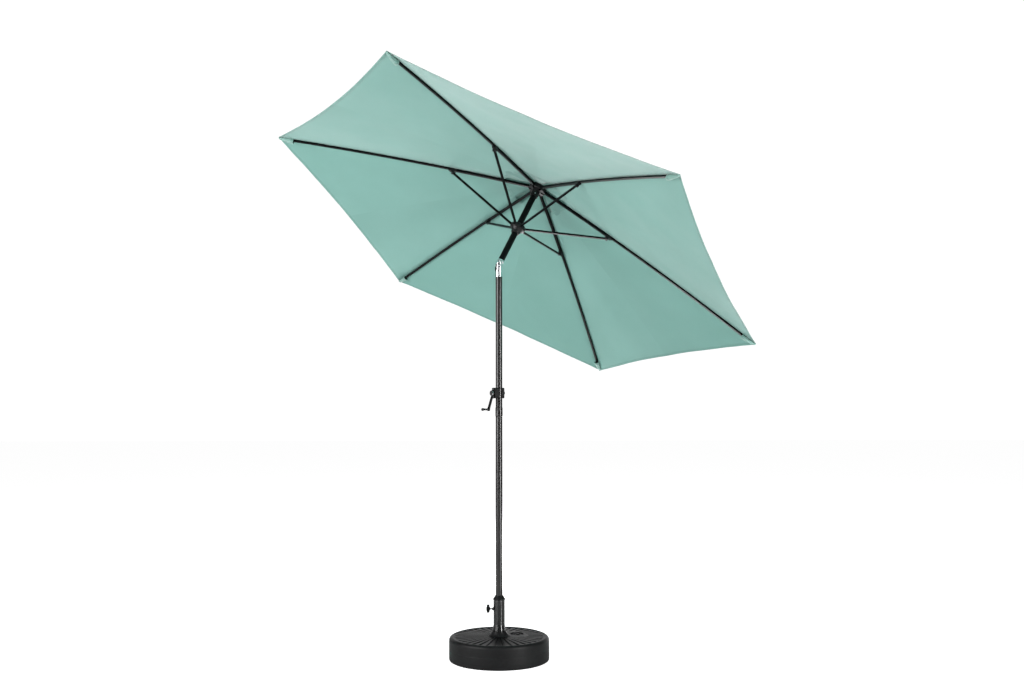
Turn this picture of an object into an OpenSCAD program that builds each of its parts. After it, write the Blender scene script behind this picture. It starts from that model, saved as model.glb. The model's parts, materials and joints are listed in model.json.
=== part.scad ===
// Patio umbrella with a crank lift, a push-button tilt and a filled round base.
// Millimetres, +Z up, origin on the ground under the middle of the base.
// At rest the canopy is open and leans over on its tilt joint.

/* [Base] */
// Diameter of the base
base_d = 500; // [480:5:540]
// Height of the base's deck at its rim
deck_h = 116; // [110:1:122]
// Wall of the blow-moulded shell
shell_t = 3.5; // [3:0.5:4]
// Height that the sand fill reaches
sand_h = 64; // [40:1:80]
// Radial grooves in the deck
groove_count = 36; // [24:2:36]
// Distance of the filler cap from the middle
cap_offset = 101; // [98:1:110]
// Direction of the filler cap, from +X towards +Y
cap_az = 27.7; // [20:0.1:35]

/* [Pole] */
// Outside diameter of the lower poles
pole_d = 34; // [33.8:0.1:34.2]
// Outside diameter of the tilting pole
top_pole_d = 32; // [31.6:0.1:32.2]
// Height of the tilt pivot above the ground
pivot_h = 1980; // [1900:5:2050]
// Height of the joint between the two lower poles
joint_h = 1255; // [1200:1:1265]
// Height of the crank's axis
crank_h = 1328; // [1325:1:1400]

/* [Lean] */
// Direction that the canopy leans in, from +X towards +Y
lean_az = 37.5; // [0:0.1:360]
// How far the canopy leans at rest
lean = 31.4; // [15:0.1:31.5]

/* [Canopy] */
// Crown height above the tilt pivot, along the tilting pole
crown_h = 487; // [480:1:520]
// Distance of the runner below the crown when the canopy is open
runner_drop = 249; // [245:1:250]
// Length of a rib from its crown pin to the canopy's corner
canopy_len = 1351; // [1250:1:1400]
// Length of canopy past the rib's end
pocket_len = 78; // [60:1:90]
// Droop of a rib where it leaves the crown
rib_droop = 11.9; // [10:0.1:12.5]
// Extra droop of a rib in each metre of its length
rib_bend = 3.4; // [2:0.1:4]
// Distance of the brace joint from the crown pin, along the rib
brace_at = 420; // [410:1:430]
// Direction of the first rib, from the lean direction
rib_az = 21.7; // [15:0.1:25]
// How far the hem curves inward at the middle of a panel
hem_curve = 44; // [30:1:80]
// How far the cloth sags between two ribs at the hem
cloth_sag = 16; // [0:1:20]
// Distance of the vent hole's corners from the axis
vent_hole_r = 180; // [160:1:200]
// Distance of the vent cap's corners from the axis
vent_cap_r = 300; // [260:1:320]

/* [Hidden] */
$fn = 96;

// small gaps: a fit that turns or slides, and parts that only stand near each other
fit_gap = 0.05;
near_gap = 0.3;
cut = 1;

// base
base_r = base_d / 2;
foot_round = 8;
rim_round = 16;
sleeve_r = 28.2;
sleeve_t = 2;
well_r = sleeve_r + 0.4;
hub_h = deck_h + 24;
hub_top_r = 36;
hub_foot_r = 82;
deck_rise = 2;
cap_recess_r = 32;
cap_recess_depth = 9;
cap_neck_r = 21.2;
groove_r = 5;
groove_in = 74;
groove_out = base_r - 26;

// sleeve and clamp
sleeve_top = 296;
sleeve_foot = shell_t + near_gap;
skirt_r = 31.8;
skirt_h = 34;
collar_r = 30.6;
collar_top = 317;
clamp_h = 250.5;
stud_r = 3;
stud_in_knob = 9;
knob_in = 44;
knob_out = 64;

// poles
pole_r = pole_d / 2;
pole_t = 1.4;
bore_r = pole_r - pole_t;
top_pole_r = top_pole_d / 2;
top_bore_r = top_pole_r - pole_t;
pole_foot = 8.3;
swage_len = 41;
swage_r = 18.6;

// crank
housing_half_w = 14;
housing_half_h = 27;
housing_back = 31;
housing_front = 24;
cover_t = 4;
shaft_r = 4;
shaft_hole_r = 6.5;
drum_r = 7.9;
bevel_in = 18.2;
bevel_r = 11.5;
screw_r = 1.8;
screw_z = 20;
arm_drop = 82;
arm_lean = 24;
hub_in = 38.5;
hub_out = 46;
grip_pin_r = 3;
grip_len = 40;

// tilt joint
knuckle_r = 17.75;
knuckle_h = 62.5;
spigot_len = 27;
tongue_half = 7;
tongue_r = 12;
tilt_pin_r = 3;
collar_low = 18.6;
collar_high = 26;
button_drop = 22;
button_face = 21.2;
button_back = 13;
button_travel = 4;
spring_drop = 2;
spring_end = 3.2;
cord_hole_r = 2.5;

// crown and runner
crown_r = 46;
crown_low = -13;
crown_top = 14;
rib_pin_r = 34;
pin_r = 1.5;
hub_r = 21;
runner_r = 40;
runner_pin_r = 30;
runner_bore_r = top_pole_r + 0.4;
cord_az = rib_az + 30;
cord_r = 1.25;
pulley_at = 14.5;
pulley_drop = 32;
pulley_groove_r = 8;
pulley_rim_r = 10;
pulley_slot_half = 3.3;
pulley_pin_r = 2;
pole_in_crown = 10.1;
finial_stem_r = 5;
cord_turn_r = pulley_groove_r + cord_r;

// ribs and stretchers
rib_w = 11;
rib_half_d = 7;
rib_outer_low = 2.5;
rib_step_at = brace_at + 24;
rib_t = 0.8;
rib_len = canopy_len - pocket_len;
brace_drop = 16;
brace_eye_r = 6;
stretcher_w = 9.2;
stretcher_half_d = 5;
runner_eye_r = 7;
runner_eye_bore_r = 4.2;

// canopy cloth
cloth_t = 1.6;
cap_t = 1.2;
cloth_lift = rib_half_d + 1.8;
seam_gap = 0.4;
rows = 8;

// a round stretch of an outline, in the plane of a lathe profile
function arc(cx, cy, r, a0, a1, n) = [for (k = [0:n])
    let (a = a0 + (a1 - a0) * k / n)
    [cx + r * cos(a), cy + r * sin(a)]];

// a point on a rib's line, s along it and off above it, as [outward, up] from the crown's middle
bend_r = 180 / PI / (rib_bend / 1000);
function rib_angle(s) = rib_droop + max(s, 0) * rib_bend / 1000;
function rib_out(s) = rib_pin_r + bend_r * (sin(rib_angle(s)) - sin(rib_droop));
function rib_up(s) = -bend_r * (cos(rib_droop) - cos(rib_angle(s)));
function rib_line(s) = [rib_out(s), rib_up(s)];
function rib_point(s, off) = rib_line(s) + off * [sin(rib_angle(s)), cos(rib_angle(s))];

brace_pin = rib_point(brace_at, -brace_drop);
runner_pin = [runner_pin_r, -runner_drop];
stretcher_vec = runner_pin - brace_pin;
stretcher_len = norm(stretcher_vec);
stretcher_tilt = atan2(-stretcher_vec[1], -stretcher_vec[0]);

// ---------- frames ----------

// stands in the lean direction: X towards the lean, Z up
module lean_frame(h) {
    rotate([0, 0, lean_az]) translate([0, 0, h]) children();
}

// follows the tilting pole: Z along it, X towards the lean, origin at the tilt pivot
module tilted() {
    lean_frame(pivot_h) rotate([0, lean, 0]) children();
}

// one rib's frame: X outward along it, Z along the pole, origin in the middle of the crown
module rib_frame(i) {
    tilted() translate([0, 0, crown_h]) rotate([0, 0, rib_az + 60 * (i - 1)]) children();
}

// a side outline [outward, up] given a width across it
module slab(w, outline) {
    rotate([90, 0, 0]) translate([0, 0, -w / 2]) linear_extrude(height = w) polygon(outline);
}

// a bar along X from x0 to x1
module rod_x(r, x0, x1) {
    translate([x0, 0, 0]) rotate([0, 90, 0]) cylinder(r = r, h = x1 - x0);
}

// a bar along Y, centred
module rod_y(r, w) {
    rotate([90, 0, 0]) cylinder(r = r, h = w, center = true);
}

// a block between two corners
module block(a, b) {
    translate(a) cube(b - a);
}

// a plate with round corners in the YZ plane, from x0 to x1
module round_plate(x0, x1, half_w, half_h, r) {
    block([x0, -half_w, r - half_h], [x1, half_w, half_h - r]);
    block([x0, r - half_w, -half_h], [x1, half_w - r, half_h]);
    for (sy = [-1, 1]) {
        for (sz = [-1, 1]) {
            translate([0, sy * (half_w - r), sz * (half_h - r)]) rod_x(r, x0, x1);
        }
    }
}

// ---------- base ----------

// the hub's flare from its foot, t = 1, up to its top, t = 0
flare_power = 2.4;
function flare_r(t) = hub_top_r + (hub_foot_r - hub_top_r) * t;
function flare_h(t) = deck_h + deck_rise + (hub_h - deck_h - deck_rise) * pow(1 - t, flare_power);

module shell_outside() {
    rotate_extrude() polygon(concat(
        [[0, 0]],
        arc(base_r - foot_round, foot_round, foot_round, -90, 0, 4),
        arc(base_r - rim_round, deck_h - rim_round, rim_round, 0, 90, 6),
        [for (t = [1:-0.2:0]) [flare_r(t), flare_h(t)]],
        [[well_r, hub_h], [well_r, shell_t], [0, shell_t]]
    ));
}

module shell_inside() {
    rotate_extrude() polygon(concat(
        [[well_r + shell_t, shell_t]],
        arc(base_r - foot_round, foot_round, foot_round - shell_t, -90, 0, 3),
        arc(base_r - rim_round, deck_h - rim_round, rim_round - shell_t, 0, 90, 4),
        [[hub_foot_r, deck_h + deck_rise - shell_t], [well_r + shell_t, deck_h + deck_rise - shell_t]]
    ));
}

module at_cap() {
    rotate([0, 0, cap_az]) translate([cap_offset, 0, deck_h + deck_rise - cap_recess_depth]) children();
}

module deck_grooves() {
    groove_depth = 1.8;
    cap_margin = 8;
    cap_clear_az = 24;
    for (k = [0:groove_count - 1]) {
        a = 360 / groove_count * (k + 0.5);
        near_cap = abs(a - cap_az) < cap_clear_az;
        rotate([0, 0, a])
            translate([0, 0, deck_h + deck_rise / 2 + groove_r - groove_depth])
                rod_x(groove_r, near_cap ? cap_offset + cap_recess_r + cap_margin : groove_in, groove_out);
    }
}

module base_shell() {
    pocket_rim = 2.5;
    color([0.10, 0.10, 0.10]) difference() {
        union() {
            difference() {
                shell_outside();
                shell_inside();
            }
            at_cap()
                translate([0, 0, -shell_t])
                    cylinder(r = cap_recess_r + shell_t, h = cap_recess_depth + shell_t - pocket_rim);
        }
        at_cap() cylinder(r = cap_recess_r, h = cap_recess_depth + cut);
        at_cap() translate([0, 0, -shell_t - cut]) cylinder(r = cap_neck_r, h = cap_recess_depth);
        deck_grooves();
    }
}

module sand_fill() {
    inner = well_r + shell_t + 1;
    outer = base_r - shell_t - 1.5;
    low = shell_t + 0.7;
    color([0.72, 0.62, 0.45]) rotate_extrude() polygon([
        [inner, low],
        [outer - 2, low],
        [outer, foot_round],
        [outer, sand_h],
        [inner, sand_h]
    ]);
}

module fill_cap() {
    flange_r = 27;
    neck_len = 12;
    color([0.06, 0.06, 0.06]) at_cap() {
        difference() {
            union() {
                translate([0, 0, -neck_len]) cylinder(r = cap_neck_r - near_gap, h = neck_len + cut);
                translate([0, 0, near_gap]) cylinder(r = flange_r, h = 3.7);
                translate([0, 0, near_gap]) cylinder(r1 = flange_r - 3, r2 = flange_r - 7, h = 5.5);
            }
            translate([0, 0, 3]) cylinder(r = 17, h = 4);
        }
        rotate([0, 0, 20]) block([-17.5, -2.5, 1], [17.5, 2.5, 7.5]);
    }
}

module base_sleeve() {
    boss_out = 36;
    color([0.09, 0.09, 0.09]) difference() {
        union() {
            rotate_extrude() polygon([
                [sleeve_r - sleeve_t, sleeve_foot],
                [sleeve_r, sleeve_foot],
                [sleeve_r, hub_h + near_gap],
                [skirt_r, hub_h + near_gap],
                [skirt_r, hub_h + 5],
                [sleeve_r, hub_h + skirt_h],
                [sleeve_r, sleeve_top],
                [sleeve_r - sleeve_t, sleeve_top]
            ]);
            translate([0, 0, clamp_h]) intersection() {
                translate([-boss_out, 0, 0]) rotate([0, 90, 0]) cylinder(r1 = 5.5, r2 = 9.5, h = 11);
                block([-boss_out - cut, -12, -12], [-sleeve_r + 1, 12, 12]);
            }
        }
        translate([0, 0, clamp_h]) rod_x(stud_r + fit_gap, -boss_out - cut, -pole_r);
    }
}

module sleeve_bush() {
    bush_top = 44;
    color([0.12, 0.12, 0.12]) rotate_extrude() polygon([
        [0, sleeve_foot],
        [sleeve_r - sleeve_t - 0.1, sleeve_foot],
        [sleeve_r - sleeve_t - 0.1, bush_top],
        [pole_r + fit_gap, bush_top],
        [pole_r + fit_gap, pole_foot - near_gap],
        [0, pole_foot - near_gap]
    ]);
}

module sleeve_collar() {
    tail = 14;
    color([0.07, 0.07, 0.07]) rotate_extrude() polygon([
        [pole_r + fit_gap, sleeve_top - tail],
        [sleeve_r - sleeve_t - 0.1, sleeve_top - tail],
        [sleeve_r - sleeve_t - 0.1, sleeve_top + 0.1],
        [collar_r - 1, sleeve_top + 0.1],
        [collar_r, sleeve_top + 1.5],
        [collar_r, sleeve_top + 4],
        [pole_r + 2.2, collar_top],
        [pole_r + fit_gap, collar_top]
    ]);
}

module clamp_screw() {
    color([0.75, 0.75, 0.76]) translate([0, 0, clamp_h]) rod_x(stud_r, -knob_in - stud_in_knob, -pole_r - 0.6);
}

module clamp_knob() {
    lobes = 5;
    core_r = 15;
    lobe_r = 6.5;
    face = 2;
    neck = 4;
    color([0.05, 0.05, 0.05]) translate([0, 0, clamp_h]) difference() {
        union() {
            rod_x(core_r, -knob_out + face, -knob_in - neck);
            rod_x(8, -knob_in - neck, -knob_in);
            rod_x(9, -knob_out, -knob_out + face);
            for (k = [0:lobes - 1]) {
                rotate([360 / lobes * k, 0, 0])
                    translate([0, 0, core_r - 0.5])
                        rod_x(lobe_r, -knob_out + face + 0.5, -knob_in - neck - 0.5);
            }
        }
        rod_x(stud_r + fit_gap, -knob_in - stud_in_knob - 0.2, -knob_in + cut);
    }
}

// ---------- poles ----------

module lower_pole() {
    swage_low = joint_h - swage_len;
    color([0.16, 0.15, 0.15]) rotate_extrude() polygon([
        [bore_r, pole_foot],
        [pole_r, pole_foot],
        [pole_r, swage_low - 5],
        [swage_r - 0.6, swage_low - 1.5],
        [swage_r, swage_low + 1],
        [swage_r, joint_h - 0.8],
        [swage_r - 0.8, joint_h],
        [pole_r + 0.1, joint_h],
        [pole_r + 0.1, swage_low],
        [bore_r, swage_low - 2]
    ]);
}

module middle_pole() {
    low = joint_h - swage_len + near_gap;
    color([0.16, 0.15, 0.15]) difference() {
        translate([0, 0, low]) cylinder(r = pole_r, h = pivot_h - knuckle_h - low - 0.1);
        translate([0, 0, low - cut]) cylinder(r = bore_r, h = pivot_h);
        lean_frame(crank_h) rod_x(shaft_hole_r, -pole_r - 2, pole_r + 2);
    }
}

// ---------- crank ----------

// the two cover screws, above and below the shaft
module at_screws() {
    for (s = [-1, 1]) {
        translate([0, 0, s * screw_z]) children();
    }
}

// a block on each side of the pole, joined by a saddle round the pole's back
module crank_housing() {
    saddle_r = pole_r + 3.4;
    color([0.05, 0.05, 0.05]) lean_frame(crank_h) difference() {
        union() {
            intersection() {
                translate([0, 0, -housing_half_h]) cylinder(r = saddle_r, h = 2 * housing_half_h);
                block([-saddle_r, 0, -housing_half_h], [saddle_r, saddle_r, housing_half_h]);
            }
            round_plate(-housing_back, housing_front, housing_half_w, housing_half_h, 7);
            rod_x(11, housing_front - 1, housing_front + 5);
            rod_x(8, housing_front, housing_front + 8);
            at_screws() rod_x(6, 10, housing_front + 2.5);
        }
        translate([0, 0, -2 * housing_half_h]) cylinder(r = pole_r + 0.1, h = 4 * housing_half_h);
        rod_x(bevel_r, -housing_back - cut, -bevel_in);
        rod_x(shaft_r + fit_gap, -bevel_in - cut, housing_front + 5.2);
        at_screws() rod_x(screw_r + fit_gap, -housing_back - cut, -bevel_in - 2.8);
    }
}

module crank_cover() {
    color([0.05, 0.05, 0.05]) lean_frame(crank_h) difference() {
        union() {
            round_plate(-housing_back - cover_t, -housing_back - 0.1, housing_half_w, housing_half_h, 7);
            rod_x(11, -housing_back - cover_t - 2, -housing_back - 2);
            at_screws() rod_x(6.6, -housing_back - cover_t - 2, -housing_back - 2);
        }
        rod_x(shaft_r + fit_gap, -2 * housing_back, 0);
        at_screws() rod_x(screw_r + fit_gap, -2 * housing_back, 0);
        at_screws() rod_x(4.8, -2 * housing_back, -housing_back - cover_t - 1);
    }
}

module cover_screws() {
    head = -housing_back - cover_t - 1.05;
    head_t = 2.4;
    slot_t = 1;
    color([0.78, 0.78, 0.78]) lean_frame(crank_h) at_screws() difference() {
        union() {
            rod_x(screw_r, head - 1, -bevel_in - 3.3);
            rod_x(4.6, head - head_t, head);
        }
        block([head - head_t - cut, -0.5, -3], [head - head_t + slot_t, 0.5, 3]);
        block([head - head_t - cut, -3, -0.5], [head - head_t + slot_t, 3, 0.5]);
    }
}

module crank_shaft() {
    drum_half = 5.5;
    drum_rim_r = 12;
    color([0.6, 0.6, 0.62]) lean_frame(crank_h) {
        rod_x(shaft_r, -hub_out + 0.3, housing_front + 4.8);
        rod_x(drum_r, -drum_half - 0.1, drum_half + 0.1);
        rod_x(drum_rim_r, -drum_half - 1.5, -drum_half);
        rod_x(drum_rim_r, drum_half, drum_half + 1.5);
        rod_x(bevel_r - 1, -housing_back + 2, -bevel_in - 0.8);
    }
}

// the arm slopes away from the pole on its way down to the grip
module crank_arm() {
    straight = 15;
    color([0.05, 0.05, 0.05]) lean_frame(crank_h) difference() {
        union() {
            rod_x(12, -hub_out, -hub_in);
            slab(14, [
                [-hub_in - 2, 0],
                [-hub_in - 2, -straight],
                [-hub_in - arm_lean, -arm_drop],
                [-hub_out - arm_lean, -arm_drop],
                [-hub_out, -straight],
                [-hub_out, 0]
            ]);
            translate([0, 0, -arm_drop]) {
                rod_x(8.5, -hub_out - arm_lean, -hub_in - arm_lean);
                rod_x(grip_pin_r, -hub_out - arm_lean - grip_len + 2, -hub_out - arm_lean + 1);
            }
        }
        rod_x(shaft_r + 0.02, -hub_out + 0.2, 0);
    }
}

module crank_cap() {
    color([0.85, 0.86, 0.88]) lean_frame(crank_h) {
        rod_x(13.5, -hub_out - 3, -hub_out - 0.1);
        rod_x(11.5, -hub_out - 4.2, -hub_out - 0.1);
    }
}

module crank_grip() {
    start = hub_out + arm_lean + 0.4;
    wide = 6.2;
    waist = 4.9;
    end_r = 7.5;
    color([0.05, 0.05, 0.05]) lean_frame(crank_h - arm_drop) rotate([0, -90, 0]) difference() {
        rotate_extrude() polygon(concat(
            [[0, start], [wide, start], [wide, start + 2], [waist, start + 6], [waist, start + 18]],
            [[wide, start + 25]],
            arc(0, start + grip_len - end_r, end_r, 0, 90, 6)
        ));
        translate([0, 0, start - cut]) cylinder(r = grip_pin_r + fit_gap, h = grip_len - 1);
    }
}

// ---------- tilt joint ----------

module lower_knuckle() {
    slot_low = -14;
    slot_half = tongue_half + near_gap;
    color([0.82, 0.83, 0.85]) lean_frame(pivot_h) difference() {
        union() {
            translate([0, 0, -knuckle_h]) cylinder(r = knuckle_r, h = knuckle_h);
            intersection() {
                translate([0, 0, -cut]) cylinder(r = knuckle_r, h = 30);
                rod_y(knuckle_r, 60);
            }
            translate([0, 0, -knuckle_h - spigot_len]) cylinder(r = bore_r - 0.1, h = spigot_len + cut);
        }
        block([-knuckle_r - cut, -slot_half, slot_low], [knuckle_r + cut, slot_half, 30]);
        rod_y(tilt_pin_r + 0.02, 60);
        for (s = [-1, 1]) {
            translate([0, s * (knuckle_r + 4.2), 0]) rod_y(6, 10);
        }
        translate([0, 0, -button_drop])
            round_plate(-button_face, -button_back + button_travel + 0.5, 6.4, 11.4, 5);
        translate([0, 0, -button_drop - spring_drop]) rod_x(4, -button_back, -spring_end);
        translate([0, 0, -knuckle_h - spigot_len - cut]) cylinder(r = cord_hole_r, h = knuckle_h + spigot_len);
    }
}

module upper_knuckle() {
    color([0.82, 0.83, 0.85]) tilted() difference() {
        union() {
            rod_y(tongue_r, 2 * tongue_half);
            block([-tongue_r, -tongue_half, 0], [tongue_r, tongue_half, collar_low + cut]);
            translate([0, 0, collar_low]) cylinder(r = knuckle_r, h = collar_high - collar_low);
            translate([0, 0, collar_high - cut]) cylinder(r = top_bore_r - 0.1, h = spigot_len);
        }
        translate([0, 0, -2 * tongue_r]) cylinder(r = cord_hole_r, h = 4 * tongue_r + 2 * spigot_len);
        for (s = [-1, 1]) {
            translate([0, s * (tongue_half / 2 + 1.4), 0]) rod_y(tilt_pin_r + fit_gap, tongue_half);
        }
    }
}

module tilt_pins() {
    inner = 3;
    color([0.7, 0.7, 0.72]) lean_frame(pivot_h) {
        for (s = [-1, 1]) {
            translate([0, s * (inner + knuckle_r) / 2, 0]) rod_y(tilt_pin_r, knuckle_r - inner);
            translate([0, s * (knuckle_r + 0.25), 0]) rod_y(5, 1.8);
        }
    }
}

module tilt_button() {
    color([0.04, 0.04, 0.04]) lean_frame(pivot_h - button_drop) {
        round_plate(-button_face + 1.2, -button_back, 6, 11, 4.6);
        round_plate(-button_face, -button_back - 4, 4.8, 9.8, 3.4);
    }
}

// a round wire bent into a helix along +X
module button_spring() {
    turns = 5;
    coil_r = 2.9;
    wire_r = 0.4;
    steps = 12;
    sides = 6;
    span = button_back - spring_end - 0.2 - 2 * wire_r - 0.2;
    count = turns * steps;
    points = [for (k = [0:count]) for (j = [0:sides - 1])
        let (a = 360 * k / steps, b = 360 * j / sides, r = coil_r + wire_r * cos(b))
        [wire_r * sin(b) + span * k / count, r * cos(a), r * sin(a)]];
    walls = [for (k = [0:count - 1]) for (j = [0:sides - 1])
        let (n = (j + 1) % sides)
        [k * sides + j, (k + 1) * sides + j, (k + 1) * sides + n, k * sides + n]];
    first = [for (j = [0:sides - 1]) j];
    last = [for (j = [sides - 1:-1:0]) count * sides + j];
    color([0.7, 0.7, 0.72]) lean_frame(pivot_h - button_drop - spring_drop)
        translate([-button_back + wire_r + 0.1, 0, 0])
            polyhedron(points, concat(walls, [first, last]), convexity = 10);
}

// ---------- crown, pulley and runner ----------

// the plane that the lift cord runs in, seen from the crown
module cord_frame(h) {
    tilted() translate([0, 0, h]) rotate([0, 0, cord_az]) children();
}

// the pulley's axle, with Y along it
module at_pulley() {
    cord_frame(crown_h - pulley_drop) translate([pulley_at, 0, 0]) children();
}

module upper_pole() {
    color([0.03, 0.03, 0.03]) difference() {
        tilted()
            translate([0, 0, collar_high + 0.1])
                cylinder(r = top_pole_r, h = crown_h + pole_in_crown - 0.1 - collar_high);
        tilted() cylinder(r = top_bore_r, h = crown_h + 30);
        at_pulley() {
            block([-12, -pulley_slot_half, -13], [4, pulley_slot_half, 13]);
            rod_y(pulley_pin_r + 0.02, 20);
        }
    }
}

module crown() {
    slot_half = rib_w / 2 + 0.4;
    color([0.04, 0.04, 0.04]) difference() {
        union() {
            tilted() translate([0, 0, crown_h]) rotate_extrude() polygon([
                [0, crown_low - 36],
                [hub_r, crown_low - 36],
                [hub_r, crown_low - 2],
                [crown_r - 2, crown_low],
                [crown_r, crown_low + 2],
                [crown_r, crown_top - 4],
                [crown_r - 8, crown_top],
                [0, crown_top]
            ]);
            cord_frame(crown_h) block([10, -7, -47], [26, 7, crown_low]);
        }
        tilted()
            translate([0, 0, crown_h - 80])
                cylinder(r = top_pole_r + fit_gap, h = 80 + pole_in_crown + 0.1);
        tilted() translate([0, 0, crown_h]) cylinder(r = finial_stem_r + fit_gap, h = 30);
        for (i = [1:6]) {
            rib_frame(i) block([25.5, -slot_half, -30], [crown_r + 5, slot_half, 9.5]);
            rib_frame(i) translate([rib_pin_r, 0, 0]) rod_y(pin_r + 0.02, 24);
        }
        at_pulley() {
            block([-4.5, -pulley_slot_half, -30], [pulley_rim_r + 0.8, pulley_slot_half, 13]);
            rod_y(pulley_pin_r + 0.02, 20);
        }
    }
}

module crown_pins() {
    color([0.6, 0.6, 0.62]) for (i = [1:6]) {
        rib_frame(i) translate([rib_pin_r, 0, 0]) rod_y(pin_r, 22);
    }
}

module crown_screw() {
    facing = 236.5;
    below_crown = 38;
    color([0.85, 0.85, 0.86]) tilted() translate([0, 0, crown_h - below_crown]) rotate([0, 0, facing])
        rod_x(3.6, hub_r + 0.05, hub_r + 1.8);
}

module finial() {
    low = crown_top + 2.6;
    foot = pole_in_crown + 0.4;
    color([0.05, 0.05, 0.05]) tilted() translate([0, 0, crown_h]) rotate_extrude() polygon(concat(
        [[0, foot], [finial_stem_r - 0.1, foot], [finial_stem_r - 0.1, low], [21, low], [22, low + 1]],
        [[22, low + 2.5], [12, low + 5], [8.5, low + 9]],
        arc(0, low + 24, 14, -55, 70, 8),
        [[4, low + 40], [3, low + 46], [0, low + 48]]
    ));
}

module cord_pulley() {
    half_t = 2.5;
    color([0.75, 0.75, 0.7]) at_pulley() rotate([90, 0, 0]) difference() {
        rotate_extrude() polygon([
            [0, -half_t], [pulley_rim_r, -half_t], [pulley_rim_r, -half_t + 0.6],
            [pulley_groove_r, -0.9], [pulley_groove_r, 0.9],
            [pulley_rim_r, half_t - 0.6], [pulley_rim_r, half_t], [0, half_t]
        ]);
        cylinder(r = pulley_pin_r + fit_gap, h = 20, center = true);
    }
}

module pulley_pin() {
    color([0.6, 0.6, 0.62]) at_pulley() rod_y(pulley_pin_r, 13.6);
}

module runner() {
    slot_half = stretcher_w / 2 + 0.5;
    color([0.05, 0.05, 0.05]) difference() {
        tilted() translate([0, 0, crown_h - runner_drop]) rotate_extrude() polygon([
            [runner_bore_r, -40],
            [20, -40],
            [22, -38],
            [25, -26],
            [33, -14],
            [runner_r - 2, -13],
            [runner_r, -11],
            [runner_r, 6],
            [runner_r - 3, 9],
            [20.4, 9],
            [20.4, 16],
            [19, 17.5],
            [runner_bore_r, 17.5]
        ]);
        for (i = [1:6]) {
            rib_frame(i) translate([0, 0, -runner_drop]) {
                block([20.5, -slot_half, -9.5], [runner_r + 5, slot_half, 30]);
                translate([runner_pin_r, 0, 0]) rod_y(pin_r + 0.02, 18);
            }
        }
    }
}

module runner_pins() {
    color([0.6, 0.6, 0.62]) for (i = [1:6]) {
        rib_frame(i) translate([runner_pin_r, 0, -runner_drop]) rod_y(pin_r, 17);
    }
}

// ---------- lift cord ----------

cord_sides = 24;

module cord_run(len) {
    cylinder(r = cord_r, h = len, $fn = cord_sides);
}

module lift_cord_lower() {
    top = pivot_h - 16;
    low = crank_h;
    start = drum_r + cord_r + 0.1;
    rise = top - low;
    color([0.2, 0.2, 0.2]) lean_frame(low) {
        rotate([0, 90, 0]) rotate_extrude() translate([start, 0]) circle(r = cord_r, $fn = cord_sides);
        translate([0, start, 0]) rotate([atan2(start, rise), 0, 0]) cord_run(norm([start, rise]));
    }
}

module lift_cord_upper() {
    foot = 8;
    knot_r = 2.6;
    pulley_h = crown_h - pulley_drop;
    inner = pulley_at - cord_turn_r - 0.1;
    outer = pulley_at + cord_turn_r + 0.1;
    rise = pulley_h - foot;
    runner_top = crown_h - runner_drop + 9 + near_gap;
    color([0.2, 0.2, 0.2]) {
        cord_frame(foot) rotate([0, atan2(inner, rise), 0]) cord_run(norm([inner, rise]));
        at_pulley() rotate([90, 0, 0])
            rotate_extrude(angle = 180) translate([cord_turn_r + 0.1, 0]) circle(r = cord_r, $fn = cord_sides);
        cord_frame(runner_top) translate([outer, 0, 0]) cord_run(pulley_h - runner_top);
        cord_frame(runner_top + knot_r) translate([outer, 0, 0]) sphere(r = knot_r, $fn = 32);
    }
}

// ---------- ribs, stretchers and their plastic fittings ----------

// the side outline of a rib from s0 to s1, between two distances above its line
function rib_outline(s0, s1, low, top) = concat(
    [for (k = [0:rows]) rib_point(s0 + (s1 - s0) * k / rows, top)],
    [for (k = [rows:-1:0]) rib_point(s0 + (s1 - s0) * k / rows, low)]
);

// a tube that is deeper from the crown to just past its brace
module rib(i) {
    eye_len = 14;
    color([0.03, 0.03, 0.03]) rib_frame(i) difference() {
        union() {
            slab(rib_w, rib_outline(0, rib_len, -rib_outer_low, rib_half_d));
            slab(rib_w, rib_outline(0, rib_step_at, -rib_half_d, rib_half_d));
            translate([rib_pin_r, 0, 0]) rod_y(rib_half_d, rib_w);
        }
        slab(rib_w - 2 * rib_t, rib_outline(eye_len, rib_len + 5, rib_t - rib_outer_low, rib_half_d - rib_t));
        slab(rib_w - 2 * rib_t, rib_outline(eye_len, rib_step_at - rib_t, rib_t - rib_half_d, rib_half_d - rib_t));
        translate([rib_pin_r, 0, 0]) rod_y(pin_r + fit_gap, 30);
    }
}

// a frame on the rib's line: X along the rib, Z above it
module on_rib(i, s) {
    p = rib_line(s);
    rib_frame(i) translate([p[0], 0, p[1]]) rotate([0, rib_angle(s), 0]) children();
}

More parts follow.
